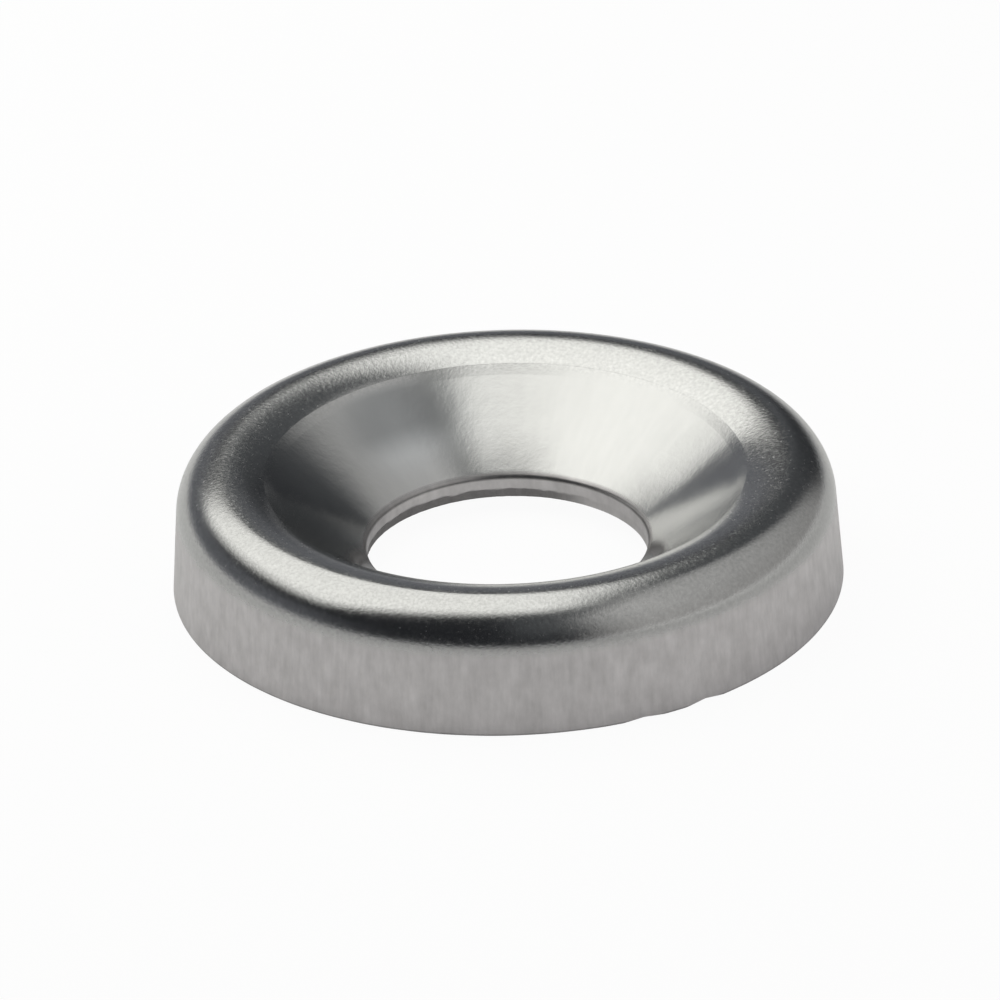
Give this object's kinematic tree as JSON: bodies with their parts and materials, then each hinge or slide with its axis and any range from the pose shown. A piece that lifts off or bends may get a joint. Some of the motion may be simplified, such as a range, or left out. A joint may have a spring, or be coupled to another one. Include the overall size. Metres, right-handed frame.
{
  "type": "finishing cup washer",
  "caption": "Pressed cup washer with a flared skirt, a rolled rim, a conical seat for a countersunk screw head and a plain central bore.",
  "frame": {"origin": "centre of the foot plane, on the bore's axis", "axes": "+Z along the bore axis, up from the foot towards the rim that faces the screw head; -Y faces the viewer"},
  "size_m": [0.0142, 0.0142, 0.0028],
  "materials": {
    "stainless_sheet": "bright pressed stainless sheet with fine draw lines on the skirt, a mottled rim and a sheared bore"
  },
  "bodies": {
    "root": {"cup_washer": "stainless_sheet"}
  },
  "joints": []
}
